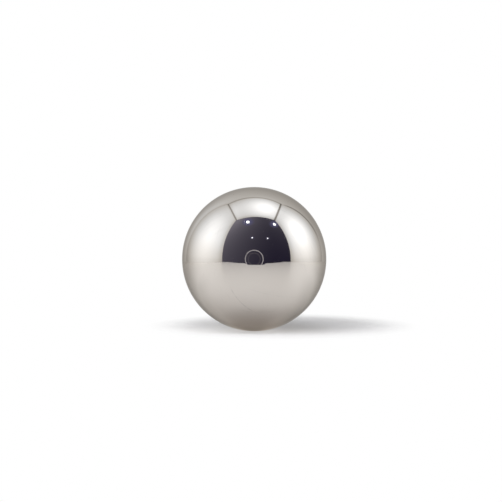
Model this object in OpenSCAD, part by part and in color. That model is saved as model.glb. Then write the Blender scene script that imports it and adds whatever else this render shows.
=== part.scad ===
// Polished steel ball: one solid piece, ground and lapped to a true sphere.
// Millimetres, +Z up. The origin is the centre of the ball.

/* [Ball] */
// Diameter of the ball over its lapped surface
ball_d = 16; // [5:0.5:50]

/* [Hidden] */
// Facets round the ball on screen; the solid itself is a true sphere
ball_facets = 180;

// The whole ball: solid through, the same from every side, with no seam, flat or hole
module ball() {
    color("silver")
        sphere(d = ball_d, $fn = ball_facets);
}

ball();
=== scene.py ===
"""Polished steel ball on a white table, inside a small light tent.

Everything is in metres, with +Z up and the ball centred on the origin.
"""

import math
from random import Random
from typing import NamedTuple

import bmesh
import bpy
from bpy.props import FloatProperty, FloatVectorProperty, IntProperty, PointerProperty
from mathutils import Matrix, Vector


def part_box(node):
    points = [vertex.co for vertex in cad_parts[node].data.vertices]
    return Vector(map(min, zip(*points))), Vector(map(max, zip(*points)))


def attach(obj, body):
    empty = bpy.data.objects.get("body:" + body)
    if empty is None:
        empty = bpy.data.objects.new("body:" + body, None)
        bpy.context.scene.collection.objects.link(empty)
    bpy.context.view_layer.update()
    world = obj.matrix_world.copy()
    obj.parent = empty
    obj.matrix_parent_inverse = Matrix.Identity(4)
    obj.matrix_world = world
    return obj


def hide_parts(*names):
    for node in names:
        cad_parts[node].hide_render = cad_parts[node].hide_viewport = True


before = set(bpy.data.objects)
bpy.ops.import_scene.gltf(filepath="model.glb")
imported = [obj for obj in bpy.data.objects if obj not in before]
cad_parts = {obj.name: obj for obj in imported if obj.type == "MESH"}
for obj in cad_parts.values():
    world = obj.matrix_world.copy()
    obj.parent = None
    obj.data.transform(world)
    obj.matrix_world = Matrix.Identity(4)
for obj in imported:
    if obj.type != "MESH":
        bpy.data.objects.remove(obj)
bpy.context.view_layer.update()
BALL_LOW, BALL_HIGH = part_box("ball")
TABLE_HEIGHT = BALL_LOW.z

bl_info = {
    "name": "Polished Steel Ball",
    "version": (1, 0, 0),
    "blender": (4, 5, 0),
    "location": "View3D > Sidebar > Steel Ball",
    "description": "Builds a lapped steel ball and the light tent that it is shown in",
    "category": "Add Mesh",
}

# The name that the export looks for when a piece brings its own map
BAKE_MAP = "OFBake"
WHITE = (1.0, 1.0, 1.0, 1.0)
BLACK = (0.0, 0.0, 0.0, 1.0)


# ---------------------------------------------------------------------------
# Settings
# ---------------------------------------------------------------------------


class BallSettings(bpy.types.PropertyGroup):
    """Size and finish of the ball"""

    diameter: FloatProperty(
        name="Diameter",
        description="Diameter over the lapped surface; it starts as the solid's own",
        default=min(BALL_HIGH - BALL_LOW),
        min=0.001,
        subtype="DISTANCE",
        unit="LENGTH",
    )
    rows: IntProperty(
        name="Rows",
        description="Faces along each edge of the cube that is rounded into the ball",
        default=96,
        min=8,
        max=128,
    )
    colour: FloatVectorProperty(
        name="Steel",
        description="Colour that the polished steel gives to what it reflects",
        default=(0.63, 0.602, 0.568),
        min=0.0,
        max=1.0,
        subtype="COLOR",
    )
    polish: FloatProperty(
        name="Polish roughness",
        description="Roughness where the polish is at its best",
        default=0.04,
        min=0.0,
        max=1.0,
        subtype="FACTOR",
    )
    haze: FloatProperty(
        name="Haze",
        description="Roughness that handling and wiping add to the polish",
        default=0.03,
        min=0.0,
        max=0.5,
        subtype="FACTOR",
    )
    scratch_depth: FloatProperty(
        name="Scratch depth",
        description="Depth of a pit, and of a hairline scratch of full strength",
        default=0.0000008,
        min=0.0,
        precision=7,
        subtype="DISTANCE",
        unit="LENGTH",
    )


class StageSettings(bpy.types.PropertyGroup):
    """Size and light of the tent, and where the camera stands"""

    opening: FloatProperty(
        name="Opening",
        description="Distance from the ball's centre to the open front of the tent",
        default=0.096,
        subtype="DISTANCE",
        unit="LENGTH",
    )
    back: FloatProperty(
        name="Back wall",
        description="Distance from the ball's centre to the back wall",
        default=0.1315,
        subtype="DISTANCE",
        unit="LENGTH",
    )
    left: FloatProperty(
        name="Left wall",
        description="Distance from the ball's centre to the foot of the left wall",
        default=0.123,
        subtype="DISTANCE",
        unit="LENGTH",
    )
    right: FloatProperty(
        name="Right wall",
        description="Distance from the ball's centre to the right wall",
        default=0.141,
        subtype="DISTANCE",
        unit="LENGTH",
    )
    height: FloatProperty(
        name="Height",
        description="Height of the tent's top above the table",
        default=0.2826,
        subtype="DISTANCE",
        unit="LENGTH",
    )
    turn: FloatProperty(
        name="Turn",
        description="Turn of the tent about the ball, as seen from above",
        default=math.radians(2.0),
        subtype="ANGLE",
        unit="ROTATION",
    )
    cloth: FloatVectorProperty(
        name="Cloth",
        description="Colour of the tent's cloth where it is brightly lit",
        default=(0.97, 0.997, 1.035),
        min=0.0,
        max=2.0,
        subtype="COLOR",
    )
    dim_cloth: FloatVectorProperty(
        name="Dim cloth",
        description="Colour of the tent's cloth where little light reaches it",
        default=(1.04, 1.0, 0.945),
        min=0.0,
        max=2.0,
        subtype="COLOR",
    )
    fill: FloatProperty(
        name="Fill",
        description="Share of the cloth's glow that lights the ball and the table",
        default=0.4,
        min=0.0,
        max=1.0,
        subtype="FACTOR",
    )
    key_power: FloatProperty(
        name="Key lamp",
        description="Power of the soft lamp that throws the shadow",
        default=0.28,
        unit="POWER",
    )
    camera_distance: FloatProperty(
        name="Camera distance",
        description="Distance from the ball's centre to the camera",
        default=0.1344,
        subtype="DISTANCE",
        unit="LENGTH",
    )
    camera_elevation: FloatProperty(
        name="Camera elevation",
        description="Angle of the camera above the level of the ball's centre",
        default=math.radians(1.76),
        subtype="ANGLE",
        unit="ROTATION",
    )
    lens: FloatProperty(
        name="Lens",
        description="Focal length of the camera's lens in millimetres",
        default=86.8,
        unit="CAMERA",
    )


# ---------------------------------------------------------------------------
# Shader maths as Python expressions
# ---------------------------------------------------------------------------

# How far apart the nodes of a material are laid out
NODE_SPACING = 180
# The Mix node has sockets for each kind of data: these are its factor, its two colours and their mixture
MIX_FACTOR, MIX_LOW, MIX_HIGH, MIX_RESULT = 0, 6, 7, 2


class Value:
    """An output of a shader node, which sums, products and the methods below turn into further nodes."""

    def __init__(self, tree, socket=None):
        self.tree = tree
        self.socket = socket

    def node(self, kind, settings=None, sockets=None, output=0):
        """Adds a node, sets it up, fills its sockets with values or links, and gives one output."""
        made = self.tree.nodes.new(kind)
        made.location.x = NODE_SPACING * len(self.tree.nodes)
        for name, setting in (settings or {}).items():
            setattr(made, name, setting)
        for name, value in (sockets or {}).items():
            if isinstance(value, Value):
                self.tree.links.new(value.socket, made.inputs[name])
            else:
                made.inputs[name].default_value = value
        return Value(self.tree, made.outputs[output])

    def other(self, output):
        """Another output of the same node."""
        return Value(self.tree, self.socket.node.outputs[output])

    def maths(self, operation, *values):
        return self.node("ShaderNodeMath", {"operation": operation}, dict(enumerate(values)))

    def __add__(self, other):
        return self.maths("ADD", self, other)

    def __sub__(self, other):
        return self.maths("SUBTRACT", self, other)

    def __mul__(self, other):
        return self.maths("MULTIPLY", self, other)

    def __truediv__(self, other):
        return self.maths("DIVIDE", self, other)

    def __pow__(self, other):
        return self.maths("POWER", self, other)

    def __lt__(self, other):
        return self.maths("LESS_THAN", self, other)

    def __rsub__(self, other):
        return self.maths("SUBTRACT", other, self)

    def __rtruediv__(self, other):
        return self.maths("DIVIDE", other, self)

    def __abs__(self):
        return self.maths("ABSOLUTE", self)

    __radd__ = __add__
    __rmul__ = __mul__

    def larger(self, other):
        return self.maths("MAXIMUM", self, other)

    def smaller(self, other):
        return self.maths("MINIMUM", self, other)

    def rise(self, low, high):
        """0 below low, 1 above high, and a smooth rise between them."""
        return self.node(
            "ShaderNodeMapRange",
            {"interpolation_type": "SMOOTHSTEP"},
            {"Value": self, "From Min": low, "From Max": high},
        )

    def mix(self, low, high):
        """The colour low where this value is 0 and high where it is 1."""
        sockets = {MIX_FACTOR: self, MIX_LOW: low, MIX_HIGH: high}
        return self.node("ShaderNodeMix", {"data_type": "RGBA"}, sockets, MIX_RESULT)

    def grey(self):
        """A grey that is as bright as this value."""
        sockets = {"Red": self, "Green": self, "Blue": self}
        return self.node("ShaderNodeCombineColor", sockets=sockets)

    def vector_maths(self, operation, *others, output=0):
        """Vector maths on this vector and any others."""
        sockets = dict(enumerate((self, *others)))
        return self.node("ShaderNodeVectorMath", {"operation": operation}, sockets, output)

    def scaled(self, factor):
        """This vector or colour, times a number or a value."""
        sockets = {"Vector": self, "Scale": factor}
        return self.node("ShaderNodeVectorMath", {"operation": "SCALE"}, sockets)

    def along(self, direction):
        """How far this vector reaches along a direction."""
        return self.vector_maths("DOT_PRODUCT", direction, output="Value")

    def distance(self, point):
        return self.vector_maths("DISTANCE", point, output="Value")

    def noise(self, scale, detail):
        """Soft noise from 0 to 1, read at this vector."""
        sockets = {"Vector": self, "Scale": scale, "Detail": detail}
        return self.node("ShaderNodeTexNoise", sockets=sockets)


def opaque(colour, share=1.0):
    """This share of a colour of three parts, with the fourth part that a socket takes."""
    return (*(share * part for part in colour), 1.0)


def new_material(name):
    """An empty node material, a Value to start its nodes from, and its output node."""
    material = bpy.data.materials.new(name)
    material.use_nodes = True
    tree = material.node_tree
    tree.nodes.clear()
    return material, Value(tree), tree.nodes.new("ShaderNodeOutputMaterial")


def finish_material(output, shader):
    """Shows a shader on the surface."""
    shader.tree.links.new(shader.socket, output.inputs["Surface"])


# ---------------------------------------------------------------------------
# Steel
# ---------------------------------------------------------------------------

# Coordinates on the ball are in radii, so that the finish keeps its look at any size.

# What the steel keeps of each colour near its rim, where light only grazes it
RIM_TINT = (0.62, 0.61, 0.6, 1.0)

# Patches of haze: scale and detail of their noise, and the levels of it between which they set in
HAZE_SCALE = 1.7
HAZE_DETAIL = 3.0
HAZE_LEVELS = (0.42, 0.68)
# The same for the streaks that wiping leaves in them
WIPE_SCALE = 3.0
WIPE_DETAIL = 2.0
WIPE_LEVELS = (0.45, 0.75)
# How the streaks lie, and how their noise is stretched: to a tenth across them
WIPE_TURN = (0.5, 0.9, 0.3)
WIPE_STRETCH = (1.0, 0.1, 1.0)
# The share of the haze that is left between the streaks
HAZE_BETWEEN = 0.35
# The shares of its colour that steel keeps under full haze, and where it is scratched or pitted
HAZED_COLOUR = 0.95
WORN_COLOUR = 0.6

# Strengths of scratches are shares: at 1 a scratch is as deep and as dull as they get.

# The long hairline on the front of the ball, where a plane slices it: the way across that plane, its offset
# from the centre, the middle of the line, the angle from there to an end, half its width, and its strength
HAIRLINE_ACROSS = Vector((0.4325, -0.9016, 0.0)).normalized()
HAIRLINE_OFFSET = 0.661
HAIRLINE_MIDDLE = Vector((-0.165, -0.812, -0.56)).normalized()
HAIRLINE_REACH = math.radians(20)
HAIRLINE_WIDTH = 0.007
HAIRLINE_STRENGTH = 0.8

# More long scratches, anywhere on the ball: degrees from their middle to an end, widths as shares of the
# hairline's, and strengths
LONG_SCRATCHES = 9
LONG_SCRATCH_REACHES = (10, 35)
LONG_SCRATCH_WIDTHS = (0.5, 1.0)
LONG_SCRATCH_STRENGTHS = (0.3, 0.8)
SCRATCH_SEED = 67

# Long scratches come and go: scale and detail of the noise that breaks them, the levels of it between
# which they come back, and the share of their strength that is always there
BREAK_SCALE = 11.0
BREAK_DETAIL = 1.0
BREAK_LEVELS = (0.38, 0.6)
SCRATCH_LEAST = 0.25

# Short scratches: cells across one radius, half width of a line, share of the cells that have one
SHORT_SCRATCHES = ((9.0, 0.0016, 0.45), (4.0, 0.0022, 0.35))
SHORT_SCRATCH_STRENGTH = 0.4
# The distances from the middle of its cell, in cells, between which a short scratch runs out
SHORT_SCRATCH_FADE = (0.2, 0.55)

# Pits: cells across one radius, radius of a pit in cells, and share of the cells that have one
PIT_CELLS = 13.0
PIT_SIZE = 0.09
PIT_SHARE = 0.05

# How far a scratch of full strength goes to the worn colour, where a pit goes all the way
SCRATCH_DULLING = 0.7
# What a scratch of full strength and a pit add to the roughness
SCRATCH_ROUGHNESS = 0.25
PIT_ROUGHNESS = 0.2


def random_direction(random):
    """A direction with no bias to any side."""
    return Vector([random.gauss(0, 1) for _ in range(3)]).normalized()


def chosen(cell, share):
    """1 in this share of a Voronoi texture's cells, and 0 in the others."""
    dice = cell.node("ShaderNodeTexWhiteNoise", sockets={"Vector": cell.other("Position")})
    return dice < share


def short_scratches(skin, cells, width, share):
    """Straight scratches, one through the middle of some of the cells that fill the space of the ball."""
    cell = skin.node("ShaderNodeTexVoronoi", sockets={"Vector": skin, "Scale": cells})
    # A cell's colour is random, so what it has over the middle grey points any way
    heading = cell.other("Color").vector_maths("SUBTRACT", (0.5, 0.5, 0.5)).vector_maths("NORMALIZE")
    from_middle = skin.vector_maths("SUBTRACT", cell.other("Position"))
    line = 1 - abs(from_middle.along(heading)).rise(0, width)
    fade = 1 - cell.rise(*SHORT_SCRATCH_FADE)
    return line * fade * chosen(cell, share)


def long_scratch(skin, across, offset, middle, reach, width):
    """A hairline where a plane slices the sphere, which runs out at an angle of reach from its middle."""
    line = 1 - abs(skin.along(across) - offset).rise(0, width)
    return line * skin.along(middle).rise(math.cos(reach), math.cos(reach / 2))


def random_long_scratch(skin, random):
    """A long hairline anywhere on the ball, which lies on a circle round its centre."""
    middle = random_direction(random)
    across = middle.cross(random_direction(random)).normalized()
    reach = math.radians(random.uniform(*LONG_SCRATCH_REACHES))
    width = random.uniform(*LONG_SCRATCH_WIDTHS) * HAIRLINE_WIDTH
    return long_scratch(skin, across, across.dot(middle), middle, reach, width)


def pits(skin):
    """Tiny round pits, each well inside its own cell."""
    cell = skin.node("ShaderNodeTexVoronoi", sockets={"Vector": skin, "Scale": PIT_CELLS})
    return (1 - cell.rise(0, PIT_SIZE)) * chosen(cell, PIT_SHARE)


def light_haze(skin):
    """Haze in soft patches, strongest in the streaks that wiping leaves."""
    wiped = skin.node(
        "ShaderNodeMapping",
        {"vector_type": "TEXTURE"},
        {"Vector": skin, "Rotation": WIPE_TURN, "Scale": WIPE_STRETCH},
    )
    patches = skin.noise(HAZE_SCALE, HAZE_DETAIL).rise(*HAZE_LEVELS)
    streaks = wiped.noise(WIPE_SCALE, WIPE_DETAIL).rise(*WIPE_LEVELS)
    return patches * (HAZE_BETWEEN + (1 - HAZE_BETWEEN) * streaks)


def all_scratches(skin):
    """How strong a scratch is at each place: the hairline, the other long ones and the short ones."""
    random = Random(SCRATCH_SEED)
    lines = HAIRLINE_STRENGTH * long_scratch(
        skin, HAIRLINE_ACROSS, HAIRLINE_OFFSET, HAIRLINE_MIDDLE, HAIRLINE_REACH, HAIRLINE_WIDTH
    )
    for _ in range(LONG_SCRATCHES):
        line = random_long_scratch(skin, random)
        lines = lines.larger(line * random.uniform(*LONG_SCRATCH_STRENGTHS))
    breaks = skin.noise(BREAK_SCALE, BREAK_DETAIL).rise(*BREAK_LEVELS)
    lines = lines * (SCRATCH_LEAST + (1 - SCRATCH_LEAST) * breaks)
    for cells, width, share in SHORT_SCRATCHES:
        lines = lines.larger(short_scratches(skin, cells, width, share) * SHORT_SCRATCH_STRENGTH)
    return lines


def polished_steel(look):
    """Lapped steel with a mirror polish, a light haze, hairline scratches and a few tiny pits."""
    material, start, output = new_material("polished steel")
    place = start.node("ShaderNodeTexCoord", output="Object")
    skin = place.scaled(2 / look.diameter)
    haze = light_haze(skin)
    lines = all_scratches(skin)
    dents = pits(skin)
    clean = haze.mix(opaque(look.colour), opaque(look.colour, HAZED_COLOUR))
    worn = opaque(look.colour, WORN_COLOUR)
    normal = start.node(
        "ShaderNodeBump",
        {"invert": True},
        {"Distance": look.scratch_depth, "Height": lines.larger(dents)},
    )
    shader = start.node(
        "ShaderNodeBsdfPrincipled",
        sockets={
            "Base Color": dents.larger(lines * SCRATCH_DULLING).mix(clean, worn),
            "Metallic": 1.0,
            "Specular Tint": RIM_TINT,
            "Roughness": look.polish + look.haze * haze + SCRATCH_ROUGHNESS * lines + PIT_ROUGHNESS * dents,
            "Normal": normal,
        },
    )
    finish_material(output, shader)
    return material


# ---------------------------------------------------------------------------
# Stage materials
# ---------------------------------------------------------------------------

# Painted light: the cloth glows as if lamps outside the tent shone through it, though no such lamps are in
# the scene. Each painted lamp: place, and strength in square metres times the brightness of white
PAINTED_CLOTH_LAMPS = (
    (Vector((-0.2228, -0.0067, 0.0579)), 0.0114),
    (Vector((0.231, -0.0088, 0.0876)), 0.0132),
    (Vector((0.0622, 0.0057, 0.4556)), 0.0181),
)
# The painted lamps are tall, so heights count less than widths in the distance to them
LAMP_SQUEEZE = Vector((1, 1, 0.69))
# The share of a hem's width that is evenly dark
HEM_CORE = 0.55
# The share by which a hem gets wider for each metre towards the opening
HEM_FLARE = 2.0
# The heights over which hems set in, which only the one in the back corner reaches down to
HEM_RISE = (0.05, 0.15)
# Painted shade down a side wall's back edge, where a fold would be: the distances from that edge over which
# it runs out, and the heights over which it sets in and runs out again
FOLD_SHADE_REACH = (0.01, 0.02)
FOLD_SHADE_START = (0.035, 0.085)
FOLD_SHADE_END = (0.2, 0.29)
# Painted shade along the cloth's edges, where it would sag, softly out to this distance, and the share of
# its light that it keeps right at the edge
SAG = 0.03
SAG_SHADE = 0.825
# How far up the cloth the painted light and shade near the table reach
LOW_REACH = 0.08
# How far the cloth's painted glow next to the table goes towards its dim colour
LOW_WARMTH = 0.5
# The levels of painted light between which the cloth goes from its dim colour to its bright one
CLOTH_LEVELS = (0.4, 1.2)
# Painted shade at the cloth's foot, where it would turn up from the table: the heights over which it runs
# out, and the share of light that it takes below them
CLOTH_FOOT_HEIGHTS = (0.007, 0.016)
CLOTH_FOOT_SHADE = 0.035

# The colours of the room's painted glow where it is darkest and lightest
ROOM_DIM = (0.02, 0.017, 0.037, 1.0)
ROOM_DUSK = (0.258, 0.246, 0.303, 1.0)
# How far the room's painted glow goes to its lightest to the left, overhead, and more where both meet
DUSK_LEFT = 0.38
DUSK_OVERHEAD = 0.25
DUSK_CORNER = 0.6
# Where the left and the overhead begin and end, as metres sideways or up for each metre into the room
LEFT_SLOPES = (-1.8, 0.75)
OVERHEAD_SLOPES = (-0.5, 2.8)
# Ceiling lamps of the room, as shares of their height: x, y and size
ROOM_LAMPS = (
    (-0.17, -0.52, 0.046),
    (0.57, -0.48, 0.044),
    (-0.09, -1.41, 0.026),
    (0.62, -1.38, 0.026),
)
ROOM_LAMP_HEIGHT = 1.7
ROOM_LAMP_COLOUR = (0.92, 0.95, 1.0)
ROOM_LAMP_GLOW = 3.2
# The painted glow on the ceiling round each lamp, and the distances over which it fades, in sizes of the
# lamp
ROOM_HALO = (0.13, 0.13, 0.27, 1.0)
HALO_START = 0.8
HALO_END = 4.5
# Heights below this count as this one, so that nothing is divided by 0
LEAST_HEIGHT = 0.001

TABLE_COLOUR = (0.985, 0.955, 0.916, 1.0)
TABLE_ROUGHNESS = 0.3
# Painted shades and glows of the table are given from the ball's foot. A way is where one is strongest. A
# spread is the pair of cosines, of the angle to that way, between which it sets in: one above 1 keeps it
# from setting in fully. A reach is the pair of distances between which it runs out.

# Painted shade on the table behind the ball, which keeps light off it
PAINTED_SHADE_BEHIND = (0.54, 0.517, 0.48, 1.0)
BEHIND_WAY = (-0.07, 0.9975, 0.0)
BEHIND_SPREAD = (-0.1, 0.85)
# The share of that painted shade that shows at the ball's sides
SIDE_SHARE = 0.2
SIDE_SPREAD = (-0.5, 0.0)
SIDE_REACH = (0.012, 0.035)
# Painted shade just in front of the ball's foot too
PAINTED_SHADE_AT_FOOT = (0.64, 0.6, 0.565, 1.0)
FOOT_WAY = (-0.15, -0.99, 0.0)
FOOT_SPREAD = (0.5, 1.05)
FOOT_REACH = (0.003, 0.0075)
# Painted light: a glow on the table under the ball
PAINTED_GLOW_UNDER_BALL = (0.39, 0.363, 0.338, 1.0)
UNDER_BALL_GLOW_REACH = (0.0006, 0.0057)
# The share of that glow right at the contact, and how far out it is whole
CONTACT_GLOW = 0.66
CONTACT_REACH = 0.0026
# Painted light for what the cloth gives the table next to it, and the distances from the foot over which it
# sets in
PAINTED_EDGE_GLOW = (0.085, 0.08, 0.075, 1.0)
EDGE_SPREAD = (-0.35, 0.05)
EDGE_START = (0.02, 0.11)

# The shadow that the camera sees is the key lamp's, with painted white over it: its middle, how far it
# reaches each way, and the shares of that reach between which the painted white fades it out
SHADOW_MIDDLE = (0.0033, 0.008, TABLE_HEIGHT)
SHADOW_REACH = (0.0149, 0.017, 1.0)
SHADOW_FADE = (0.575, 1.1)
# Painted light that lifts that shadow round the foot: its share, its middle and how far it reaches
PAINTED_SHADOW_LIFT = 0.46
LIFT_MIDDLE = (-0.0038, -0.0034, TABLE_HEIGHT)
LIFT_REACH = (0.0042, 0.0143)


def seen_rays(start):
    """1 where a ray shows a surface, directly, in metal or through glass, and 0 where it only lights."""
    camera = start.node("ShaderNodeLightPath", output="Is Camera Ray")
    return camera.larger(camera.other("Is Glossy Ray")).larger(camera.other("Is Transmission Ray"))


def after_metal(start):
    """1 or more once a ray has met metal, which sets apart the light on what the ball reflects."""
    return start.node("ShaderNodeLightPath", output="Glossy Depth")


def glow(start, colour, strength=1.0):
    """A shader that shines in this colour."""
    return start.node("ShaderNodeEmission", sockets={"Color": colour, "Strength": strength})


def mix_shaders(factor, low, high):
    """The shader low where factor is 0 and high where it is 1."""
    return factor.node("ShaderNodeMixShader", sockets={0: factor, 1: low, 2: high})


def tent_cloth(panel, hems, sag_shaded_by, stage):
    """White cloth whose glow is painted light, with hems and painted sag shade along some of its edges.

    Each of the hems is the panel that it is sewn to, the share of light that it lets through and its
    width. The sag_shaded_by panels are those along whose seams the cloth gets painted sag shade, besides
    its edge at the opening.
    """
    material, start, output = new_material(panel.name)
    place = start.node("ShaderNodeTexCoord", output="Object")
    depth = place.along((0, 1, 0))
    height = place.along((0, 0, 1)) - TABLE_HEIGHT

    # The glow is painted light: an even painted glow, painted light and shade near the table and the
    # painted lamps, less the hems and the painted shades of sag, fold and foot below
    near_table = 1 - height.rise(0, LOW_REACH)
    light = near_table * (place.along(panel.low_slope) + panel.low) + panel.base
    squeezed = place.vector_maths("MULTIPLY", LAMP_SQUEEZE)
    for (lamp, strength), share in zip(PAINTED_CLOTH_LAMPS, panel.shares):
        away = squeezed.distance(lamp * LAMP_SQUEEZE)
        light = share * strength * panel.distance_to(lamp) / away**3 + light

    flare = 1 - HEM_FLARE * depth
    for other, share, width in hems:
        across = other.distance_from(place) / flare
        in_hem = height.rise(*HEM_RISE) * (1 - across.rise(HEM_CORE * width, width))
        light = light * (1 - (1 - share) * in_hem)

    # Painted shade along the opening and the seams, where the cloth would sag
    to_edge = depth + stage.opening
    for other in sag_shaded_by:
        to_edge = to_edge.smaller(other.distance_from(place))
    light = light * (SAG_SHADE + (1 - SAG_SHADE) * to_edge.rise(0, SAG))
    # Painted shade of a fold down the back edge
    if panel.fold_shade:
        in_fold_shade = 1 - (stage.back - depth).rise(*FOLD_SHADE_REACH)
        in_fold_shade = in_fold_shade * height.rise(*FOLD_SHADE_START) * (1 - height.rise(*FOLD_SHADE_END))
        light = light * (1 - panel.fold_shade * in_fold_shade)
    # Painted shade at the cloth's foot
    light = light * (1 - CLOTH_FOOT_SHADE * (1 - height.rise(*CLOTH_FOOT_HEIGHTS)))

    tint = light.rise(*CLOTH_LEVELS) * (1 - LOW_WARMTH * near_table)
    shade = tint.mix(opaque(stage.dim_cloth), opaque(stage.cloth)).scaled(light)
    # The cloth glows fully where it is seen and on what the ball reflects, and less on the rest
    full = seen_rays(start).larger(after_metal(start))
    low = glow(start, (light * stage.fill).grey())
    finish_material(output, mix_shaders(full, low, glow(start, shade)))
    return material


def table_paint_and_painted_light(place):
    """The satin white paint, with painted shade round the ball's foot and painted glows under it and next
    to the cloth.
    """
    foot = (0, 0, TABLE_HEIGHT)
    to_foot = place.distance(foot)
    heading = place.vector_maths("SUBTRACT", foot).vector_maths("NORMALIZE")
    to_back = heading.along((0, 1, 0))
    # Painted shade at the back of the ball, at its sides and in front of its foot, and painted glows under
    # the ball and next to the cloth
    beside = SIDE_SHARE * to_back.rise(*SIDE_SPREAD) * (1 - to_foot.rise(*SIDE_REACH))
    behind = heading.along(BEHIND_WAY).rise(*BEHIND_SPREAD).larger(beside)
    in_front = heading.along(FOOT_WAY).rise(*FOOT_SPREAD) * (1 - to_foot.rise(*FOOT_REACH))
    contact = CONTACT_GLOW + (1 - CONTACT_GLOW) * to_foot.rise(0, CONTACT_REACH)
    glow_under_ball = contact * (1 - to_foot.rise(*UNDER_BALL_GLOW_REACH))
    edge = to_back.rise(*EDGE_SPREAD) * to_foot.rise(*EDGE_START)
    return place.node(
        "ShaderNodeBsdfPrincipled",
        sockets={
            "Base Color": in_front.mix(behind.mix(TABLE_COLOUR, PAINTED_SHADE_BEHIND), PAINTED_SHADE_AT_FOOT),
            "Roughness": TABLE_ROUGHNESS,
            "Emission Color": glow_under_ball.mix(edge.mix(BLACK, PAINTED_EDGE_GLOW), PAINTED_GLOW_UNDER_BALL),
            "Emission Strength": 1.0,
        },
    )


def shadow_on_white(place):
    """Plain white that shows the key lamp's shadow of the ball, faded out by painted white and lifted round
    the foot by painted light.
    """
    from_middle = place.vector_maths("SUBTRACT", SHADOW_MIDDLE).vector_maths("DIVIDE", SHADOW_REACH)
    fade = from_middle.vector_maths("LENGTH", output="Value").rise(*SHADOW_FADE)
    # Painted light that lifts the shadow round the foot
    fade = fade.larger(PAINTED_SHADOW_LIFT * (1 - place.distance(LIFT_MIDDLE).rise(*LIFT_REACH)))
    shaded = place.node("ShaderNodeBsdfDiffuse", sockets={"Color": WHITE})
    return mix_shaders(fade, shaded, glow(place, WHITE))


def table_top():
    """White table that shows its soft shadow to the camera, and its paint to the ball.

    Metal sees the paint, with its painted shades and glows, as the tent lights it and not the plain white,
    because that would wash out the lower half of the ball and the dark round its foot. Glass, like the
    camera, sees the white.
    """
    material, start, output = new_material("white table")
    place = start.node("ShaderNodeNewGeometry", output="Position")
    camera = start.node("ShaderNodeLightPath", output="Is Camera Ray")
    seen = camera.larger(camera.other("Is Transmission Ray"))
    finish_material(output, mix_shaders(seen, table_paint_and_painted_light(place), shadow_on_white(place)))
    return material


def plain_glow(name, colour, strength=1.0):
    """A material that shines evenly."""
    material, start, output = new_material(name)
    finish_material(output, glow(start, opaque(colour), strength))
    return material


def dark_room(name):
    """The dim room outside the tent, whose walls glow with painted light: a little lighter to the left,
    overhead and round its lamps.
    """
    material, start, output = new_material(name)
    place = start.node("ShaderNodeNewGeometry", output="Position")
    forward = place.along((0, -1, 0))
    height = place.along((0, 0, 1))
    to_left = 1 - (place.along((1, 0, 0)) / forward).rise(*LEFT_SLOPES)
    overhead = (height / forward).rise(*OVERHEAD_SLOPES)
    level = DUSK_LEFT * to_left + overhead * (DUSK_CORNER * to_left + DUSK_OVERHEAD)
    on_ceiling = place.scaled(1 / height.larger(LEAST_HEIGHT))
    halo = 0
    for x, y, size in ROOM_LAMPS:
        to_lamp = on_ceiling.distance((x, y, 1))
        halo = (1 - to_lamp.rise(HALO_START * size, HALO_END * size)).larger(halo)
    finish_material(output, glow(start, halo.mix(level.mix(ROOM_DIM, ROOM_DUSK), ROOM_HALO)))
    return material


# ---------------------------------------------------------------------------
# Meshes
# ---------------------------------------------------------------------------


def add_object(name, bm, material, smooth=False):
    """Makes a mesh object from bm and puts it in the scene."""
    mesh = bpy.data.meshes.new(name)
    bm.to_mesh(mesh)
    bm.free()
    mesh.materials.append(material)
    if smooth:
        mesh.shade_smooth()
    made = bpy.data.objects.new(name, mesh)
    bpy.context.scene.collection.objects.link(made)
    return made


# The six faces of a cube: outward, rightward and upward
CUBE_FACES = (
    (Vector((1, 0, 0)), Vector((0, 1, 0)), Vector((0, 0, 1))),
    (Vector((0, 1, 0)), Vector((-1, 0, 0)), Vector((0, 0, 1))),
    (Vector((-1, 0, 0)), Vector((0, -1, 0)), Vector((0, 0, 1))),
    (Vector((0, -1, 0)), Vector((1, 0, 0)), Vector((0, 0, 1))),
    (Vector((0, 0, 1)), Vector((1, 0, 0)), Vector((0, 1, 0))),
    (Vector((0, 0, -1)), Vector((1, 0, 0)), Vector((0, -1, 0))),
)
# The map has one square for each of them, with a margin as a share of the square
MAP_COLUMNS = 3
MAP_ROWS = 2
MAP_MARGIN = 0.01


def sphere_mesh(radius, rows):
    """A cube with rows faces along each edge, rounded into a true sphere.

    The rows are at equal angles, so the faces are nearly equal and no pole shows in the reflections.
    """
    bm = bmesh.new()
    layer = bm.loops.layers.uv.new(BAKE_MAP)
    shared = {}

    def corner(out, right, up, i, j):
        spot = rows * out + (2 * i - rows) * right + (2 * j - rows) * up
        key = tuple(round(part) for part in spot)
        if key not in shared:
            direction = Vector([math.tan(math.pi / 4 * part / rows) for part in key])
            shared[key] = bm.verts.new(radius * direction.normalized())
        return shared[key]

    for number, (out, right, up) in enumerate(CUBE_FACES):
        map_row, map_column = divmod(number, MAP_COLUMNS)
        for i in range(rows):
            for j in range(rows):
                ring = ((i, j), (i + 1, j), (i + 1, j + 1), (i, j + 1))
                face = bm.faces.new([corner(out, right, up, *step) for step in ring])
                for loop, step in zip(face.loops, ring):
                    u, v = (MAP_MARGIN + (1 - 2 * MAP_MARGIN) * part / rows for part in step)
                    loop[layer].uv = ((map_column + u) / MAP_COLUMNS, (map_row + v) / MAP_ROWS)
    return bm


def only_in_reflections(piece):
    """Hides a stage piece from the camera, which looks through it, and keeps it from throwing shadows."""
    piece.visible_camera = False
    piece.visible_shadow = False


# ---------------------------------------------------------------------------
# Stage pieces
# ---------------------------------------------------------------------------

# How far the left wall leans out at its top
LEFT_LEAN = 0.0065

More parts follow.
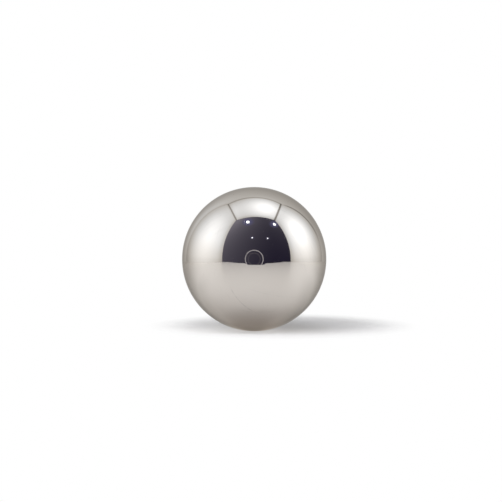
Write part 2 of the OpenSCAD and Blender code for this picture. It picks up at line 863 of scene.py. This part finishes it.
# The table's front edge: steps along it, how far it bows out, at which distance from its middle, how deep
# it is cut back for the lens, and the distances from its middle over which that cut runs out
TABLE_STEPS = 88
TABLE_BOW = 0.04
TABLE_BOW_WIDTH = 0.13
TABLE_CUT_DEPTH = 0.028
TABLE_CUT = (0.012, 0.03)

# The room's size, and the height of its middle above the ball
ROOM_SIZE = Vector((4.0, 3.5, 3.0))
ROOM_MIDDLE = 0.5
# Segments round each of its lamps
ROOM_LAMP_SEGMENTS = 24

# The bright rim of the camera's lens and the faint edge of its glass, as wires that glow with painted
# light:
# name, radius and colour
LENS_RINGS = (
    ("lens rim", 0.028, (0.8, 0.775, 0.81)),
    ("lens glass", 0.0188, (0.13, 0.12, 0.14)),
)
# The distance from the ball to the lens, whose front stands before the camera's own place
LENS_DISTANCE = 0.118
# Half the thickness of each ring's wire, the steps round a ring, and the sides of the wire
LENS_WIRE = 0.00085
LENS_STEPS = 96
LENS_SIDES = 8

# The key lamp: width, height, distance from the ball, turn to the right and elevation
KEY_WIDTH = 0.29
KEY_HEIGHT = 0.1
KEY_DISTANCE = 0.16
KEY_TURN = math.radians(-18)
KEY_ELEVATION = math.radians(42.5)
# The share of it that lights what the ball reflects
KEY_AFTER_METAL = 0.37

# Where the ball's centre lies from the middle of the camera's view, as shares of its width
BALL_RIGHT_OF_MIDDLE = 0.0064
BALL_BELOW_MIDDLE = 0.0162
# The camera's sensor in millimetres, and the nearest and furthest that it sees
SENSOR_WIDTH = 36.0
CLIP_START = 0.005
CLIP_END = 20.0


def facing_ball(distance, elevation, turn=0.0):
    """A place at this distance from the ball, whose own -Z looks at it.

    A turn of 0 is to the front, and a positive one is to the right.
    """
    level = math.cos(elevation)
    away = Vector((math.sin(turn) * level, -math.cos(turn) * level, math.sin(elevation)))
    return Matrix.Translation(distance * away) @ away.to_track_quat("Z", "Y").to_matrix().to_4x4()


class Panel:
    """A flat panel of the tent, in the tent's own axes.

    Side and up are its edges from its corner, and their cross product points inward. Its glow is painted
    light.
    Its shares are how strongly each painted lamp lights it, where 1 is straight through the cloth. Its base
    is an even painted glow, for light from the cloth round it. Low is the painted light that the table adds
    to that, or the painted shade that it takes from it, and low_slope how much more for each metre along
    each axis. The fold_shade is the share of light that painted shade takes down its back edge, where a
    fold would be.
    """

    def __init__(self, name, corner, side, up, shares, base, low=0.0, low_slope=(0, 0, 0), fold_shade=0.0):
        self.name = name
        self.shares = shares
        self.corners = (corner, corner + side, corner + side + up, corner + up)
        self.inward = side.cross(up).normalized()
        self.offset = corner.dot(self.inward)
        self.base = base
        self.low = low
        self.low_slope = low_slope
        self.fold_shade = fold_shade

    def distance_to(self, point):
        """Distance from the panel's plane to a point."""
        return abs(point.dot(self.inward) - self.offset)

    def distance_from(self, place):
        """The same for a place that is a Value."""
        return abs(place.along(self.inward) - self.offset)


class Seam(NamedTuple):
    """Where two panels are sewn together.

    Share is the part of the light that its hem lets through, and the last two are the hem's widths.
    """

    panel: Panel
    other: Panel
    share: float
    on_panel: float
    on_other: float


def build_tent(stage):
    """A cloth that runs from the left wall round the back to the right one, and a top joined to it."""
    across = Vector((stage.left + stage.right, 0, 0))
    along = Vector((0, stage.opening + stage.back, 0))
    up = Vector((0, 0, stage.height))
    lean = Vector((LEFT_LEAN, 0, 0))
    front_left = Vector((-stage.left, -stage.opening, TABLE_HEIGHT))
    # The back and the top reach as far left as the left wall leans
    left = Panel(
        "tent left",
        front_left,
        along,
        up - lean,
        shares=(0.965, 1.873, 1.545),
        base=0.238,
        low=-0.152,
        low_slope=(0, -0.2, 0),
    )
    right = Panel(
        "tent right",
        front_left + across,
        up,
        along,
        shares=(1.783, 0.996, 1.877),
        base=0.162,
        low=-0.049,
        low_slope=(0, 0.19, 0),
        fold_shade=0.55,
    )
    back = Panel(
        "tent back",
        front_left + along - lean,
        across + lean,
        up,
        shares=(2.39, 0.505, 0.903),
        base=0.319,
        low=-0.038,
        low_slope=(1.46, 0, 0),
    )
    top = Panel(
        "tent top",
        front_left + up - lean,
        along,
        across + lean,
        shares=(1.945, 0.53, 0.895),
        base=0.166,
    )
    seams = (
        Seam(left, top, share=0.42, on_panel=0.0064, on_other=0.0088),
        Seam(right, top, share=0.3, on_panel=0.0113, on_other=0.0104),
        Seam(back, top, share=0.74, on_panel=0.003, on_other=0.022),
        Seam(left, back, share=0.84, on_panel=0.012, on_other=0.003),
    )
    # The panels along whose seams each panel gets painted sag shade
    sag_shade_seams = {left: (top,), right: (top,), back: (left, top), top: (left, back)}
    for panel, sag_shaded_by in sag_shade_seams.items():
        bm = bmesh.new()
        bm.faces.new([bm.verts.new(corner) for corner in panel.corners])
        hems = [(seam.other, seam.share, seam.on_panel) for seam in seams if seam.panel is panel]
        hems += [(seam.panel, seam.share, seam.on_other) for seam in seams if seam.other is panel]
        cloth = add_object(panel.name, bm, tent_cloth(panel, hems, sag_shaded_by, stage))
        cloth.rotation_euler.z = stage.turn
        only_in_reflections(cloth)


def table_front(x, opening):
    """How far forward the table reaches: its edge bows out to the corners and is cut back for the lens."""
    bow = TABLE_BOW * (x / TABLE_BOW_WIDTH) ** 2
    step = min(max((abs(x) - TABLE_CUT[0]) / (TABLE_CUT[1] - TABLE_CUT[0]), 0), 1)
    return opening + bow - TABLE_CUT_DEPTH * (1 - step * step * (3 - 2 * step))


def build_table(stage):
    """The table top, from the back wall to a little in front of the tent's opening."""
    bm = bmesh.new()
    rows = []
    for step in range(TABLE_STEPS + 1):
        x = (stage.left + stage.right) * step / TABLE_STEPS - stage.left
        ends = (-table_front(x, stage.opening), stage.back)
        rows.append([bm.verts.new((x, y, TABLE_HEIGHT)) for y in ends])
    for (near, far), (next_near, next_far) in zip(rows, rows[1:]):
        bm.faces.new((near, next_near, next_far, far))
    table = add_object("white table", bm, table_top())
    table.rotation_euler.z = stage.turn


def build_room(stage):
    """The dim room beyond the opening, with four lamps in its ceiling."""
    bm = bmesh.new()
    bmesh.ops.create_cube(bm, size=1)
    nearest = max(bm.faces, key=lambda face: face.calc_center_median().y)
    bmesh.ops.delete(bm, geom=[nearest], context="FACES_ONLY")
    room = add_object("dim room", bm, dark_room("dim room"))
    room.scale = ROOM_SIZE
    room.location = (0, -stage.opening - ROOM_SIZE.y / 2, ROOM_MIDDLE)
    only_in_reflections(room)
    shine = plain_glow("room lamp", ROOM_LAMP_COLOUR, ROOM_LAMP_GLOW)
    for number, (x, y, size) in enumerate(ROOM_LAMPS):
        bm = bmesh.new()
        bmesh.ops.create_uvsphere(
            bm,
            u_segments=ROOM_LAMP_SEGMENTS,
            v_segments=ROOM_LAMP_SEGMENTS // 2,
            radius=size * ROOM_LAMP_HEIGHT,
        )
        lamp = add_object(f"room lamp {number + 1}", bm, shine)
        lamp.location = ROOM_LAMP_HEIGHT * Vector((x, y, 1))
        lamp.visible_diffuse = False
        only_in_reflections(lamp)


def build_lens_ring(name, radius, colour, stage):
    """A round wire that glows with painted light round the camera's lens, which the ball reflects."""
    bm = bmesh.new()
    for step in range(LENS_STEPS):
        turn = Matrix.Rotation(2 * math.pi * step / LENS_STEPS, 4, "Z")
        for side in range(LENS_SIDES):
            angle = 2 * math.pi * side / LENS_SIDES
            point = Vector((radius + LENS_WIRE * math.cos(angle), 0, LENS_WIRE * math.sin(angle)))
            bm.verts.new(turn @ point)
    bm.verts.ensure_lookup_table()
    for step in range(LENS_STEPS):
        here = step * LENS_SIDES
        there = (step + 1) % LENS_STEPS * LENS_SIDES
        for side in range(LENS_SIDES):
            after = (side + 1) % LENS_SIDES
            corners = (here + side, there + side, there + after, here + after)
            bm.faces.new([bm.verts[number] for number in corners])
    ring = add_object(name, bm, plain_glow(name, colour))
    ring.matrix_world = facing_ball(LENS_DISTANCE, stage.camera_elevation)
    ring.visible_diffuse = False
    only_in_reflections(ring)


def build_lens(stage):
    """The bright rim of the camera's lens and the faint edge of its glass, both painted glow."""
    for name, radius, colour in LENS_RINGS:
        build_lens_ring(name, radius, colour, stage)


def add_key_lamp(stage):
    """A soft oval lamp to the front and left, which throws the shadow and doesn't show in the ball."""
    light = bpy.data.lights.new("key lamp", "AREA")
    light.shape = "ELLIPSE"
    light.size = KEY_WIDTH
    light.size_y = KEY_HEIGHT
    light.energy = stage.key_power
    light.use_nodes = True
    tree = light.node_tree
    tree.nodes.clear()
    start = Value(tree)
    shader = mix_shaders(after_metal(start), glow(start, WHITE), glow(start, WHITE, KEY_AFTER_METAL))
    finish_material(tree.nodes.new("ShaderNodeOutputLight"), shader)
    lamp = bpy.data.objects.new("key lamp", light)
    lamp.matrix_world = facing_ball(KEY_DISTANCE, KEY_ELEVATION, KEY_TURN)
    lamp.visible_camera = False
    lamp.visible_glossy = False
    bpy.context.scene.collection.objects.link(lamp)


def add_world(stage):
    """White wherever the world is seen, and a low plain light elsewhere."""
    world = bpy.data.worlds.new("white surroundings")
    bpy.context.scene.world = world
    world.use_nodes = True
    tree = world.node_tree
    tree.nodes.clear()
    start = Value(tree)
    low = start.node("ShaderNodeBackground", sockets={"Color": WHITE, "Strength": stage.fill})
    high = start.node("ShaderNodeBackground", sockets={"Color": WHITE, "Strength": 1.0})
    output = tree.nodes.new("ShaderNodeOutputWorld")
    finish_material(output, mix_shaders(seen_rays(start), low, high))


def add_camera(stage):
    """A long lens in front of the opening, a little above the ball."""
    data = bpy.data.cameras.new("camera")
    data.lens = stage.lens
    data.sensor_width = SENSOR_WIDTH
    data.shift_x = -BALL_RIGHT_OF_MIDDLE
    data.shift_y = BALL_BELOW_MIDDLE
    data.clip_start = CLIP_START
    data.clip_end = CLIP_END
    camera = bpy.data.objects.new("camera", data)
    camera.matrix_world = facing_ball(stage.camera_distance, stage.camera_elevation)
    bpy.context.scene.collection.objects.link(camera)
    bpy.context.scene.camera = camera


# ---------------------------------------------------------------------------
# Operators, panel and registration
# ---------------------------------------------------------------------------


class STEELBALL_OT_ball(bpy.types.Operator):
    """Build the polished steel ball"""

    bl_idname = "steel_ball.ball"
    bl_label = "Ball"
    bl_options = {"REGISTER", "UNDO"}

    def execute(self, context):
        look = context.scene.steel_ball
        mesh = sphere_mesh(look.diameter / 2, look.rows)
        ball = add_object("steel_ball", mesh, polished_steel(look), smooth=True)
        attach(ball, "root")
        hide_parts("ball")
        return {"FINISHED"}


class STEELBALL_OT_stage(bpy.types.Operator):
    """Set up the table, the light tent, the lamps and the camera"""

    bl_idname = "steel_ball.stage"
    bl_label = "Stage"
    bl_options = {"REGISTER", "UNDO"}

    def execute(self, context):
        stage = context.scene.steel_ball_stage
        context.scene.view_settings.view_transform = "Standard"
        for build in (
            build_table,
            build_tent,
            build_room,
            build_lens,
            add_key_lamp,
            add_world,
            add_camera,
        ):
            build(stage)
        return {"FINISHED"}


class STEELBALL_PT_panel(bpy.types.Panel):
    """Steel ball settings and the buttons that build it"""

    bl_idname = "STEELBALL_PT_panel"
    bl_label = "Steel Ball"
    bl_space_type = "VIEW_3D"
    bl_region_type = "UI"
    bl_category = "Steel Ball"

    def draw(self, context):
        groups = (
            (context.scene.steel_ball, STEELBALL_OT_ball),
            (context.scene.steel_ball_stage, STEELBALL_OT_stage),
        )
        for settings, operator in groups:
            box = self.layout.box()
            for name in settings.__annotations__:
                box.prop(settings, name)
            box.operator(operator.bl_idname)


CLASSES = (
    BallSettings,
    StageSettings,
    STEELBALL_OT_ball,
    STEELBALL_OT_stage,
    STEELBALL_PT_panel,
)


def register():
    for item in CLASSES:
        bpy.utils.register_class(item)
    bpy.types.Scene.steel_ball = PointerProperty(type=BallSettings)
    bpy.types.Scene.steel_ball_stage = PointerProperty(type=StageSettings)


def unregister():
    del bpy.types.Scene.steel_ball_stage
    del bpy.types.Scene.steel_ball
    for item in reversed(CLASSES):
        bpy.utils.unregister_class(item)


def main():
    register()
    bpy.ops.steel_ball.ball()
    bpy.ops.steel_ball.stage()


if __name__ == "__main__":
    main()
